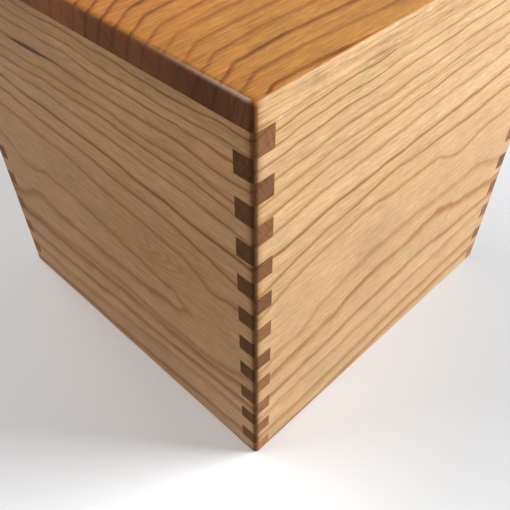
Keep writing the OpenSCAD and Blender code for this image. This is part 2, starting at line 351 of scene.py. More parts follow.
@dataclass(frozen=True)
class BoxSizes:
    """Outside sizes of the box in millimetres, read from the frame."""

    width: float
    depth: float
    height: float
    wall_height: float

    @property
    def level(self) -> float:
        """The height of one finger of the corner joints."""
        return self.wall_height / FINGER_LEVELS

    @classmethod
    def from_frame(cls) -> "BoxSizes":
        """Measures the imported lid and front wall.

        Returns:
            The sizes.
        """
        lid_low, lid_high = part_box("lid_panel")
        wall_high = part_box("front_wall")[1]
        return cls(
            width=(lid_high.x - lid_low.x) * MM_PER_M,
            depth=(lid_high.y - lid_low.y) * MM_PER_M,
            height=lid_high.z * MM_PER_M,
            wall_height=wall_high.z * MM_PER_M,
        )


@dataclass(frozen=True)
class Swell:
    """A local rise of a ring: where along the wall, how far to each side, and how high."""

    place: float
    reach: float
    rise: float


@dataclass(frozen=True)
class RingCourse:
    """Course of one growth ring along a wall, in finger levels.

    heights are those at the corner where the wall's part of the board starts, the three
    quarter points and its other corner. Where rings are left out since the course before,
    between holds their places on the way from that course to this one.
    """

    heights: tuple[float, float, float, float, float]
    swells: tuple[Swell, ...] = ()
    between: tuple[float, ...] = ()

    def draw(self, sheet: Sheet, place: Field) -> Field:
        """Draws the course.

        Args:
            sheet: The material to draw in.
            place: Where along the wall, in quarters of its width from where it starts.

        Returns:
            The course's height in finger levels.
        """
        height = sheet.curve(place, [(float(quarter), level) for quarter, level in enumerate(self.heights)])
        for swell in self.swells:
            height = height + place.bump(swell.place, swell.reach) * swell.rise
        return height


@dataclass(frozen=True)
class WallGrain:
    """How the growth rings run over a wall.

    The heart is the height that the rings lie around, and half_width is how far the
    first ring stays away from it, below 0 where that ring runs under the face.
    """

    heart: RingCourse
    half_width: RingCourse
    above: tuple[RingCourse, ...]
    below: tuple[RingCourse, ...]


FRONT_GRAIN = WallGrain(
    heart=RingCourse((9.3, 8.6, 8.9, 9.2, 9.0)),
    half_width=RingCourse(
        (-4.5, 0.3, 1.2, 1.5, 2.4), swells=(Swell(1.02, 0.14, 0.32), Swell(3.3, 0.45, -0.75))),
    above=(
        RingCourse((11.5, 12.4, 13.0, 13.5, 14.0), swells=(Swell(0.5, 0.35, -0.6), Swell(2.4, 0.4, 0.25))),
        RingCourse((12.9, 14.0, 14.4, 14.8, 15.0)),
        RingCourse((14.6, 15.1, 15.5, 15.8, 16.0)),
        RingCourse((17.0, 17.4, 17.5, 17.3, 17.0), between=(0.6,)),
        RingCourse((20.1, 20.0, 20.1, 20.1, 20.0), between=(0.2, 0.5, 0.8)),
    ),
    below=(
        RingCourse((7.2, 5.9, 6.1, 5.7, 5.6)),
        RingCourse((6.0, 5.4, 5.4, 5.2, 5.3)),
        RingCourse((3.5, 3.2, 2.6, 2.1, 2.0), between=(0.55,)),
        RingCourse((1.5, 1.2, 0.7, 0.6, 0.5)),
    ),
)
RIGHT_GRAIN = WallGrain(
    heart=RingCourse((9.5, 11.2, 11.6, 11.2, 10.8)),
    half_width=RingCourse((-2.2, -1.9, -1.8, -1.8, -1.7)),
    above=(
        RingCourse((11.5, 13.0, 13.2, 12.8, 13.0), swells=(Swell(1.3, 0.4, 0.25), Swell(2.7, 0.4, -0.5))),
        RingCourse((13.0, 14.2, 14.6, 14.6, 14.7)),
        RingCourse((14.7, 15.3, 15.6, 15.9, 16.1)),
        RingCourse((17.0, 17.6, 17.9, 18.2, 18.4), between=(0.55,)),
        RingCourse((20.1, 20.3, 20.6, 20.7, 20.8), between=(0.25, 0.5, 0.8)),
    ),
    below=(
        RingCourse((7.5, 9.4, 10.1, 9.8, 8.6), swells=(Swell(0.55, 0.35, -0.5), Swell(3.3, 0.4, 0.4))),
        RingCourse((6.4, 7.3, 8.3, 8.0, 7.2), swells=(Swell(2.6, 0.5, 0.5),)),
        RingCourse((3.5, 3.8, 4.2, 4.6, 5.0), between=(0.6,)),
        RingCourse((1.5, 1.7, 2.2, 2.5, 2.7)),
    ),
)


@dataclass(frozen=True)
class WoodTone:
    """Colours and shine of one wood under its finish.

    The face runs from pale to warm, with line as the late wood of its rings; end and
    end_line are the same on end grain, and corner is the colour painted on the upright corners
    and beside them, partly worn end grain and partly painted shade.
    texture scales how much the fine detail lightens and darkens the wood.
    """

    pale: Colour
    warm: Colour
    line: Colour
    end: Colour
    end_line: Colour
    # Painted on the upright corners: partly worn end grain, partly painted shade.
    corner: Colour = (0.225, 0.076, 0.020)
    roughness: float = 0.50
    shine: float = 0.14
    texture: float = 1.1


CHERRY_WALL = WoodTone(
    pale=(0.725, 0.470, 0.250), warm=(0.625, 0.360, 0.160), line=(0.350, 0.132, 0.026),
    end=(0.138, 0.060, 0.026), end_line=(0.080, 0.030, 0.012))
CHERRY_FRONT = WoodTone(
    pale=(0.700, 0.408, 0.203), warm=(0.585, 0.300, 0.125), line=(0.310, 0.096, 0.018),
    end=(0.240, 0.110, 0.049), end_line=(0.100, 0.038, 0.015))
CHERRY_LEFT = replace(CHERRY_WALL, end=(0.255, 0.118, 0.053))
CHERRY_BACK = replace(CHERRY_WALL, end=(0.223, 0.103, 0.046))
# The lid's corner colour is painted on its upright corners: partly worn end grain, partly painted shade.
CHERRY_LID = WoodTone(
    pale=(0.508, 0.211, 0.042), warm=(0.372, 0.125, 0.020), line=(0.175, 0.042, 0.005),
    end=(0.165, 0.064, 0.028), end_line=(0.070, 0.025, 0.011), corner=(0.340, 0.100, 0.014),
    roughness=0.38, shine=0.07, texture=1.5)
MAPLE = WoodTone(
    pale=(0.74, 0.57, 0.38), warm=(0.66, 0.48, 0.30), line=(0.48, 0.32, 0.18),
    end=(0.46, 0.31, 0.19), end_line=(0.30, 0.19, 0.11), roughness=0.55)


@dataclass(frozen=True)
class Overlay:
    """A colour laid over the wood, and how much of it; some are colours of the wood itself, some painted
    light and shade.
    """

    amount: Number
    colour: Colour


@dataclass(frozen=True)
class GrainPlaces:
    """Where a point lies in its board, in millimetres, and how the surface cuts the grain there.

    along runs with the grain, up across it and depth into the board. end is 1 where the
    surface cuts the ends of the grain and 0 where it follows the grain.
    """

    along: Field
    up: Field
    depth: Field
    end: Field


@dataclass(frozen=True)
class RingField:
    """How the growth rings run through a board.

    count is the number of rings counted outwards, spacing the distance between rings in
    millimetres, strength and thickness those of the nearest ring's dark line, and
    off_heart the distance across the board from its heart.
    """

    count: Field
    spacing: Number
    strength: Field
    thickness: Number
    off_heart: Field
    pith_depth: float


@dataclass(frozen=True)
class NoiseLayer:
    """One layer of noise in a board.

    along, across and inward are its cells for each millimetre along the grain, across it
    and into the board. detail counts its finer layers, and roughness says how strong
    they are. The noise runs from about -strength to strength.
    """

    along: float
    across: float
    inward: float
    detail: float = 2.0
    roughness: float = 0.5
    strength: float = 1.0

    def read(self, places: GrainPlaces) -> Field:
        """Reads the noise over a board.

        Args:
            places: Where each point lies in the board.

        Returns:
            The noise.
        """
        sheet = places.along.sheet
        cells = sheet.vector(places.along * self.along, places.up * self.across, places.depth * self.inward)
        return sheet.noise(cells, self.detail, self.roughness) * self.strength


LONG_FIBRES = NoiseLayer(0.05, 0.9, 0.9, detail=3.0, roughness=0.65, strength=0.6)
SHORT_FIBRES = NoiseLayer(0.16, 3.4, 3.4, roughness=0.65, strength=0.75)
PORES = NoiseLayer(0.40, 5.5, 5.5, detail=1.0)
FLECKS = NoiseLayer(0.20, 2.0, 0.8, roughness=0.6)
BROAD_SILK = NoiseLayer(0.045, 0.055, 0.05, detail=1.0, strength=0.55)
MOTTLED_SILK = NoiseLayer(0.16, 0.20, 0.1, roughness=0.6, strength=0.6)
PORE_EDGE = (0.18, 0.50)
FLECK_EDGE = (0.16, 0.62)


@dataclass(frozen=True)
class Recipe:
    """How much each layer of detail adds to one property of the wood; 0 leaves it out.

    streak stands for the fibres, pore for the cut pores, silk for the patches that catch
    the light, fleck for the cut rays, line for the dark lines of the rings, late for the
    warm wood beyond a line, ring for the luck of each ring, and end for the end grain.
    """

    streak: float = 0.0
    pore: float = 0.0
    silk: float = 0.0
    fleck: float = 0.0
    line: float = 0.0
    late: float = 0.0
    ring: float = 0.0
    end: float = 0.0

    def mix(self, layers: dict[str, Field]) -> Field:
        """Adds the layers up.

        Args:
            layers: Every layer, under its name here.

        Returns:
            The sum of the layers, each times its share.
        """
        parts = [layers[name] * share for name, share in vars(self).items() if share]
        return sum(parts[1:], parts[0])


WARMTH = Recipe(streak=-0.42, pore=0.45, silk=0.55, fleck=-0.30, late=0.50, ring=0.40)
LIGHTNESS = Recipe(streak=0.50, pore=-0.16, silk=0.24, fleck=0.34)
END_DARKNESS = Recipe(pore=0.20, line=0.55)
ROUGHNESS = Recipe(streak=0.06, line=-0.05, end=0.12)
RELIEF = Recipe(streak=0.25, pore=-0.50, line=-0.20)
RELIEF_DEPTH = 0.00002
OIL_IOR = 1.46
END_DULLING = 0.55
POLISH_SMOOTHING = 0.15
# Added to a whole number before its luck is drawn, so that rings and fingers don't share theirs.
RING_SEED = 0.5
FINGER_SEED = 0.25


@dataclass(frozen=True)
class RingLine:
    """The dark line of late wood round a ring.

    Places across the line are in thicknesses of it, away from the heart: it is sharp
    from inner_foot to inner_edge, fades out by outer_foot, and leaves the wood warm up to
    warm_end. Along the grain its strength drifts by drift_range about drift_middle.
    """

    inner_foot: float = -0.75
    inner_edge: float = -0.05
    outer_foot: float = 1.25
    warm_end: float = 2.6
    drift_along: float = 0.05
    drift_by_ring: float = 7.3
    drift_roughness: float = 0.6
    drift_range: float = 0.55
    drift_middle: float = 0.90

    def draw(self, rings: RingField, places: GrainPlaces) -> Field:
        """Draws the lines of all rings.

        Args:
            rings: How the rings run.
            places: Where each point lies in the board.

        Returns:
            The darkness, from 0 to about 1.
        """
        sheet = places.along.sheet
        nearest = sheet.math("ROUND", rings.count)
        away = (rings.count - nearest) * rings.spacing / rings.thickness
        rise = away.step(self.inner_foot, self.inner_edge)
        fall = 1.0 - away.step(0.0, self.outer_foot)
        cells = sheet.vector(places.along * self.drift_along, nearest * self.drift_by_ring, 0.0)
        drift = sheet.noise(cells, roughness=self.drift_roughness)
        return rise * fall * rings.strength * (drift * self.drift_range + self.drift_middle)

    def warmth(self, rings: RingField) -> Field:
        """Finds the warm wood beyond each line.

        Args:
            rings: How the rings run.

        Returns:
            1 at a line, falling to 0 outwards.
        """
        beyond = rings.count.sheet.math("FRACT", rings.count) * rings.spacing / rings.thickness
        return 1.0 - beyond.step(0.0, self.warm_end)


@dataclass(frozen=True)
class EndGrain:
    """How light the end grain is.

    Each finger has its own lightness, from finger_least upwards by up to finger_range. The
    rays draw streaks straight away from the pith; ray_cells are their cells of noise for
    each radian, and for each millimetre outwards and along the grain, and pith_reach is the
    depth of the pith that the distance outwards is worked out with. A board's end_fade is
    full below fade_foot and gone at fade_top, in millimetres.
    """

    finger_least: float = 0.80
    finger_range: float = 0.45
    ray_contrast: float = 0.60
    ray_cells: tuple[float, float, float] = (110.0, 0.12, 0.3)
    ray_roughness: float = 0.65
    pith_reach: float = 20.0
    fade_foot: float = 4.0
    fade_top: float = 78.0

    def rays(self, rings: RingField, places: GrainPlaces) -> Field:
        """Makes the streaks that the rays draw.

        Args:
            rings: How the rings run.
            places: Where each point lies in the board.

        Returns:
            The streaks, from about -1 to 1.
        """
        sheet = places.along.sheet
        angle = sheet.math("ARCTAN2", rings.off_heart, rings.pith_depth - places.depth)
        span = (rings.off_heart.squared() + self.pith_reach ** 2).root()
        by_angle, outwards, along = self.ray_cells
        cells = sheet.vector(angle * by_angle, span * outwards, places.along * along)
        return sheet.noise(cells, roughness=self.ray_roughness)

    def light(self, rings: RingField, places: GrainPlaces, level: float, fade: float) -> Field:
        """Works out the lightness.

        Args:
            rings: How the rings run.
            places: Where each point lies in the board.
            level: The height of one finger.
            fade: How much lighter the end grain is at the foot of the board.

        Returns:
            The lightness, about 1.
        """
        sheet = places.along.sheet
        finger = sheet.chance(sheet.math("FLOOR", places.up / level) + FINGER_SEED)
        light = finger * self.finger_range + self.finger_least
        light = light * (self.rays(rings, places) * self.ray_contrast + 1.0)
        return light * ((1.0 - places.up.step(self.fade_foot, self.fade_top)) * fade + 1.0)


@dataclass(frozen=True)
class CornerWearAndShade:
    """How the upright corners are painted darker: partly end grain darkened by handling and oil, partly
    painted shade.

    The surface's turns to the side and to the front or back, multiplied, are turn_start
    where the rounding begins and turn_full where it is full. The strip beside the corner is
    painted shade, full up to strip_start and gone at strip_end, in millimetres from it. The
    covers say how much of the corner colour shows, and dulling how much of the shine is gone.
    """

    turn_start: float = 0.08
    turn_full: float = 0.40
    rounding_cover: float = 0.72
    dulling: float = 0.85
    strip_start: float = 0.8
    strip_end: float = 3.6
    strip_cover: float = 0.42

    def rounding(self, sheet: Sheet) -> Field:
        """Finds the rounded corners, 1 at the middle of the rounding and 0 on the flat faces."""
        return (sheet.normal[0].size() * sheet.normal[1].size()).step(self.turn_start, self.turn_full)

    def strip(self, sheet: Sheet, sizes: BoxSizes) -> Field:
        """Finds the strips beside the corners, where shade is painted.

        Args:
            sheet: The material's sheet.
            sizes: The sizes of the box.

        Returns:
            1 at a corner and 0 past the strip.
        """
        aside = sizes.width / 2 - sheet.x.size()
        behind = sizes.depth / 2 - sheet.y.size()
        return 1.0 - sheet.math("MAXIMUM", aside, behind).step(self.strip_start, self.strip_end)


@dataclass(frozen=True)
class GumStreak:
    """The thin dark streak of gum high on the front wall, in millimetres along and up the board.

    It is thickest at middle and ends reach away from it on both sides. Its middle line
    passes pivot at height and rises by slope, and it is solid over solid_share of its
    thickness.
    """

    middle: float = -88.5
    reach: float = 17.0
    half_thickness: float = 0.95
    least_thickness: float = 0.02
    pivot: float = -96.0
    height: float = 118.7
    slope: float = 0.06
    solid_share: float = 0.45

    def draw(self, places: GrainPlaces) -> Field:
        """Draws the streak.

        Args:
            places: Where each point lies in the board.

        Returns:
            1 inside the streak and 0 elsewhere.
        """
        half_thickness = places.along.bump(self.middle, self.reach) * self.half_thickness
        centre_line = (places.along - self.pivot) * self.slope + self.height
        off = (places.up - centre_line).size()
        return 1.0 - (off / (half_thickness + self.least_thickness)).step(self.solid_share, 1.0)


@dataclass(frozen=True)
class BranchEye:
    """The faint fine swirl around the place where a branch began on the front wall.

    Places along the board are in millimetres, and heights in finger levels. The swirl turns
    about centre and height, pressed flat by flatness, with waves radians of wave for each
    millimetre. It shows around shown_centre and shown_height.
    """

    centre: float = -51.5
    height: float = 11.4
    flatness: float = 0.33
    waves: float = 3.9
    shown_centre: float = -44.0
    shown_reach: float = 30.0
    shown_height: float = 10.8
    shown_rise: float = 2.2
    cover: float = 0.34

    def draw(self, places: GrainPlaces, level: float) -> Field:
        """Draws the swirl.

        Args:
            places: Where each point lies in the board.
            level: The height of one finger.

        Returns:
            The swirl, from 0 to cover.
        """
        aside = (places.along - self.centre) * self.flatness
        reach = (aside.squared() + (places.up - self.height * level).squared()).root()
        wave = places.along.sheet.math("SINE", reach * self.waves) * 0.5 + 0.5
        shown = places.along.bump(self.shown_centre, self.shown_reach)
        shown = shown * places.up.bump(self.shown_height * level, self.shown_rise * level)
        return wave * shown * self.cover


@dataclass
class WoodSurface:
    """One wood material: growth rings, fibres, pores, silk and finish.

    end_fade says how much lighter the end grain is at the low end of the board's height.
    """

    name: str
    tone: WoodTone
    sheet: Sheet = field(init=False)
    sizes: BoxSizes = field(init=False)
    end_fade: float = 0.0
    line: RingLine = RingLine()
    end_grain: EndGrain = EndGrain()
    corners: CornerWearAndShade = CornerWearAndShade()
    gum_brown: Colour = (0.085, 0.022, 0.005)

    def __post_init__(self) -> None:
        """Opens the material and measures the box."""
        self.sheet = Sheet(self.name)
        self.sizes = BoxSizes.from_frame()

    def layers(self, rings: RingField, places: GrainPlaces) -> dict[str, Field]:
        """Works out every layer of detail in the board.

        Args:
            rings: How the rings run.
            places: Where each point lies in the board.

        Returns:
            The layers, under the names that a recipe uses.
        """
        sheet = self.sheet
        return {
            "streak": LONG_FIBRES.read(places) + SHORT_FIBRES.read(places),
            "pore": PORES.read(places).step(*PORE_EDGE),
            "silk": BROAD_SILK.read(places) + MOTTLED_SILK.read(places),
            "fleck": FLECKS.read(places).step(*FLECK_EDGE),
            "line": self.line.draw(rings, places),
            "late": self.line.warmth(rings),
            "ring": sheet.chance(sheet.math("FLOOR", rings.count) + RING_SEED),
            "end": places.end,
        }

    def finish(self, rings: RingField, places: GrainPlaces, stains: Sequence[Overlay] = (),
               polish: Number = 0.0) -> bpy.types.Material:
        """Colours the board and gives it its oiled surface.

        Args:
            rings: How the rings run.
            places: Where each point lies in the board.
            stains: The colours laid over the wood, some of them painted light and shade.
            polish: Where handling has polished the wood, and how much.

        Returns:
            The finished material.
        """
        sheet, tone, layers = self.sheet, self.tone, self.layers(rings, places)
        rounding = self.corners.rounding(sheet)
        colour = self.face_colour(layers, places, stains, rounding)
        end_colour = sheet.paint(END_DARKNESS.mix(layers), tone.end, tone.end_line)
        end_light = self.end_grain.light(rings, places, self.sizes.level, self.end_fade)
        colour = sheet.paint(places.end, colour, sheet.shade(end_colour, end_light))
        sheet.tree.links.new(colour, sheet.shader.inputs["Base Color"])
        rough = ROUGHNESS.mix(layers) + tone.roughness - polish * POLISH_SMOOTHING
        sheet.plug(rough, sheet.shader.inputs["Roughness"])
        sheet.shader.inputs["IOR"].default_value = OIL_IOR
        shine = (1.0 - places.end * END_DULLING) * (1.0 - rounding * self.corners.dulling)
        sheet.plug(shine * tone.shine + polish, sheet.shader.inputs["Specular IOR Level"])
        sheet.relief(RELIEF.mix(layers), RELIEF_DEPTH)
        return sheet.material

    def face_colour(self, layers: dict[str, Field], places: GrainPlaces, stains: Sequence[Overlay],
                    rounding: Field) -> bpy.types.NodeSocket:
        """Colours the faces of the board, everywhere but on its end grain.

        Args:
            layers: The layers of detail.
            places: Where each point lies in the board.
            stains: The colours laid over the wood, some of them painted light and shade.
            rounding: Where the upright corners are rounded.

        Returns:
            The colour.
        """
        sheet, tone, corners = self.sheet, self.tone, self.corners
        colour = sheet.paint(WARMTH.mix(layers), tone.pale, tone.warm)
        for overlay in stains:
            colour = sheet.paint(overlay.amount, colour, overlay.colour)
        colour = sheet.paint(layers["line"], colour, tone.line)
        colour = sheet.paint(self.gum(places), colour, self.gum_brown)
        # Painted shade on the rounded upright corners, partly worn end grain, and painted shade on the
        # strips beside them.
        colour = sheet.paint(rounding * corners.rounding_cover, colour, tone.corner)
        strip = corners.strip(sheet, self.sizes) * (1.0 - rounding)
        colour = sheet.paint(strip * corners.strip_cover, colour, tone.corner)
        return sheet.shade(colour, LIGHTNESS.mix(layers) * tone.texture + 1.0)

    def gum(self, places: GrainPlaces) -> Number:
        """Most boards have no gum streak, so this is 0 wherever places lie."""
        return 0.0


SLOW_WANDER = NoiseLayer(0.055, 0.06, 0.06, detail=1.0)
QUICK_WANDER = NoiseLayer(0.20, 0.14, 0.20)


@dataclass
class WallSurface(WoodSurface):
    """Cherry of one wall, cut from the long board that wraps round the box.

    Lengths are in millimetres, apart from rough_middle and rough_reach, which are in
    finger levels.
    """

    end_fade: float = 0.75
    board: Board = Board.FRONT
    # How far the surface has turned to the ends of the grain where they begin and are full.
    end_turn: tuple[float, float] = (0.55, 0.85)
    pith_depth: float = 30.0
    # The distances between rings past the last courses, and how far a count falls inside the first.
    outer_gap_above: float = 3.8
    outer_gap_below: float = 9.0
    inside_heart: float = 0.45
    # Where the rings above and below the heart meet, and what sets their luck apart.
    side_blend: float = 0.8
    side_seed: float = 40.0
    # How far slow noise shifts the rings along the board and up it.
    slow_slide: float = 1.4
    slow_lift: float = 1.5
    # How far quick noise shifts them: everywhere, and more around one height.
    rough_least: float = 0.22
    rough_rise: float = 1.1
    rough_middle: float = 8.8
    rough_reach: float = 7.0
    # How far the rings of the left and back walls are lowered, and around which place.
    hidden_drop: float = 8.0
    hidden_middle: float = 70.0
    hidden_reach: float = 66.0
    # How dark the lines are: each by its luck, and more so above the heart.
    line_least: float = 0.42
    line_luck: float = 0.62
    line_below: float = 0.82
    line_above: float = 0.30
    # How thick they are below the heart, and how much thinner at the top of the wall.
    line_thickness: float = 2.6
    line_thinning: float = 2.15
    # A band of colour along the top edge, and how far under it the band begins and is full.
    sapwood: Overlay = Overlay(0.35, (0.62, 0.42, 0.16))
    sapwood_band: tuple[float, float] = (9.0, 2.0)

    @property
    def grain(self) -> WallGrain:
        """The rings of this wall; the left and back walls mirror those of the front and right."""
        return FRONT_GRAIN if self.board in (Board.FRONT, Board.LEFT) else RIGHT_GRAIN

    def places(self) -> GrainPlaces:
        """Lays the board's own coordinates over the wall.

        Returns:
            Distance along the wrapped board, height, depth under the outer face and how
            far the surface is turned to end grain.
        """
        sheet, half_w, half_d = self.sheet, self.sizes.width / 2, self.sizes.depth / 2
        if self.board is Board.FRONT:
            along, depth, facing_end = sheet.x - half_w, sheet.y + half_d, sheet.normal[0]
        elif self.board is Board.RIGHT:
            along, depth, facing_end = sheet.y + half_d, half_w - sheet.x, sheet.normal[1]
        elif self.board is Board.BACK:
            along, depth, facing_end = sheet.x + half_w, half_d - sheet.y, sheet.normal[0]
        else:
            along, depth, facing_end = sheet.y - half_d, sheet.x + half_w, sheet.normal[1]
        return GrainPlaces(along, sheet.z, depth, facing_end.size().step(*self.end_turn))

    def wander(self, places: GrainPlaces) -> tuple[Field, Field]:
        """Shifts the rings a little, so that no line runs smoothly.

        Args:
            places: Where each point lies in the board.

        Returns:
            The shift along the board and the shift in height, in millimetres.
        """
        level, slow = self.sizes.level, SLOW_WANDER.read(places)
        rough = places.up.bump(self.rough_middle * level, self.rough_reach * level)
        rough = rough * self.rough_rise + self.rough_least
        lift = slow * self.slow_lift + QUICK_WANDER.read(places) * rough
        if self.board in (Board.LEFT, Board.BACK):
            hidden = places.along.size().bump(self.hidden_middle, self.hidden_reach)
            lift = lift + hidden * self.hidden_drop
        return slow * self.slow_slide, lift

    def count_rings(self, out: Field, start: Field, marks: Sequence[Field], courses: Sequence[RingCourse],
                    outer_gap: float) -> tuple[Field, Field]:
        """Counts the rings from the heart outwards on one side of it.

        Args:
            out: Distance of the point from the heart.
            start: Distance of the innermost ring from the heart.
            marks: Distances of the courses from the heart, rising.
            courses: The courses themselves.
            outer_gap: Distance between the rings past the last course.

        Returns:
            The count and the distance between rings there.
        """
        sheet = self.sheet
        spacing = last_gap = marks[0] - start
        inner_share = sheet.math("MINIMUM", (out - start) / spacing, 1.0)
        count = sheet.math("MAXIMUM", inner_share, -self.inside_heart)
        for inner, outer, course in zip(marks, marks[1:], courses[1:]):
            span = outer - inner
            share = sheet.math("MAXIMUM", sheet.math("MINIMUM", (out - inner) / span, 1.0), 0.0)
            if course.between:
                stops = [(stop, float(ring)) for ring, stop in enumerate((0.0, *course.between, 1.0))]
                share = sheet.curve(share, stops, straight=True)
            count = count + share
            gap = span * (1.0 / (len(course.between) + 1))
            spacing = spacing + sheet.math("GREATER_THAN", out, inner) * (gap - last_gap)
            last_gap = gap
        count = count + sheet.math("MAXIMUM", (out - marks[-1]) * (1.0 / outer_gap), 0.0)
        spacing = spacing + sheet.math("GREATER_THAN", out, marks[-1]) * (outer_gap - last_gap)
        return count, spacing

    def rings(self, places: GrainPlaces) -> RingField:
        """Works out how the rings run through the wall.

        Args:
            places: Where each point lies in the board.

        Returns:
            The rings.
        """
        sheet, grain, level = self.sheet, self.grain, self.sizes.level
        slide, lift = self.wander(places)
        quarter = (places.along + slide).size() / (self.sizes.width / QUARTERS)
        heart = grain.heart.draw(sheet, quarter) * level
        start = grain.half_width.draw(sheet, quarter) * level
        off = places.up + lift - heart
        # The rings are circles round the pith, so under the face they draw in towards the heart.
        lens = off.squared() - (places.depth * 2.0 * self.pith_depth - places.depth.squared())
        out = sheet.math("SIGN", lens) * lens.size().root()
        above = [course.draw(sheet, quarter) * level - heart for course in grain.above]
        below = [heart - course.draw(sheet, quarter) * level for course in grain.below]
        upper, upper_gap = self.count_rings(out, start, above, grain.above, self.outer_gap_above)
        lower, lower_gap = self.count_rings(out, start, below, grain.below, self.outer_gap_below)
        side = off.step(-self.side_blend, self.side_blend)
        count = lower + (upper - lower) * side
        spacing = lower_gap + (upper_gap - lower_gap) * side
        luck = sheet.chance(sheet.math("ROUND", count) + sheet.math("ROUND", side) * self.side_seed)
        strength = luck * self.line_luck + self.line_least
        strength = strength * (side * self.line_above + self.line_below)
        height_share = places.up / self.sizes.wall_height
        thickness = self.line_thickness - side * height_share * self.line_thinning
        return RingField(count, spacing, strength, thickness, off, self.pith_depth)

    def stains(self, places: GrainPlaces) -> list[Overlay]:
        """Lists what lies on the wall, which is a band of colour along its top edge.

        Args:
            places: Where each point lies in the board.

        Returns:
            The stains, in the order that they are laid.
        """
        band_foot, band_full = (self.sizes.wall_height - below_top for below_top in self.sapwood_band)
        return [Overlay(places.up.step(band_foot, band_full) * self.sapwood.amount, self.sapwood.colour)]

    def build(self) -> bpy.types.Material:
        """Makes the wall's material.

        Returns:
            The material.
        """
        places = self.places()
        return self.finish(self.rings(places), places, self.stains(places))


@dataclass
class FrontWallSurface(WallSurface):
    """The front wall, with its gum streak, its eye, slow changes of colour and painted light at its near
    foot.

    A change rises from the first to the second of its heights or of its distances from the
    near corner, in millimetres; the pale foot, which is painted light, falls instead. middle is
    the centre and the reach of the deeper band at mid height.
    """

    # Here the band along the top edge is darker than the wood below it.
    sapwood: Overlay = Overlay(0.35, (0.40, 0.24, 0.07))
    deep: Colour = (0.42, 0.225, 0.080)
    top_heights: tuple[float, float] = (92.0, 128.0)
    top_distances: tuple[float, float] = (35.0, 105.0)
    top_cover: float = 0.55
    middle: tuple[float, float] = (72.0, 45.0)
    middle_cover: float = 0.20
    # Painted light: the wall is painted paler at its foot near the corner.
    foot: Overlay = Overlay(0.30, (0.94, 0.62, 0.35))
    foot_heights: tuple[float, float] = (4.0, 48.0)
    foot_distances: tuple[float, float] = (8.0, 50.0)
    eye: BranchEye = BranchEye()
    gum_streak: GumStreak = GumStreak()

    def stains(self, places: GrainPlaces) -> list[Overlay]:
        """Adds the deeper far top and middle, painted light that makes the near foot paler, and the eye.

        Args:
            places: Where each point lies in the board.

        Returns:
            The stains, in the order that they are laid.
        """
        from_near = places.along.size()
        far_top = places.up.step(*self.top_heights) * from_near.step(*self.top_distances)
        deep = far_top * self.top_cover + places.up.bump(*self.middle) * self.middle_cover
        # Painted light, paler low down near the near corner.
        painted_light_foot = (1.0 - places.up.step(*self.foot_heights)) * (1.0 - from_near.step(*self.foot_distances))
        return [
            *super().stains(places),
            Overlay(deep, self.deep),
            Overlay(painted_light_foot * self.foot.amount, self.foot.colour),
            Overlay(self.eye.draw(places, self.sizes.level), self.tone.line),
        ]

    def gum(self, places: GrainPlaces) -> Number:
        """Draws the gum streak, 1 inside it and 0 elsewhere, over the places."""
        return self.gum_streak.draw(places)


@dataclass
class RightWallSurface(WallSurface):
    """The right wall, with painted shade low down and far from the near corner.

    The painted shade is full below the first height and gone at the second, and rises from
    the first distance from the near corner to the second.
    """

    # Painted shade: the wall is painted darker low down and far from the near corner.
    deep: Overlay = Overlay(0.36, (0.50, 0.31, 0.155))
    deep_heights: tuple[float, float] = (60.0, 122.0)
    deep_distances: tuple[float, float] = (-20.0, 55.0)

    def stains(self, places: GrainPlaces) -> list[Overlay]:
        """Adds painted shade on the low far side.

        Args:
            places: Where each point lies in the board.

        Returns:
            The stains, in the order that they are laid.
        """
        # Painted shade, low down and far from the near corner.
        low = 1.0 - places.up.step(*self.deep_heights)
        far = places.along.size().step(*self.deep_distances)
        return [*super().stains(places), Overlay(low * far * self.deep.amount, self.deep.colour)]


LID_DRIFT = NoiseLayer(0.014, 0.02, 0.02, detail=1.0, strength=3.0)
LID_KINK = NoiseLayer(0.09, 0.07, 0.05, detail=3.0, roughness=0.65, strength=0.55)


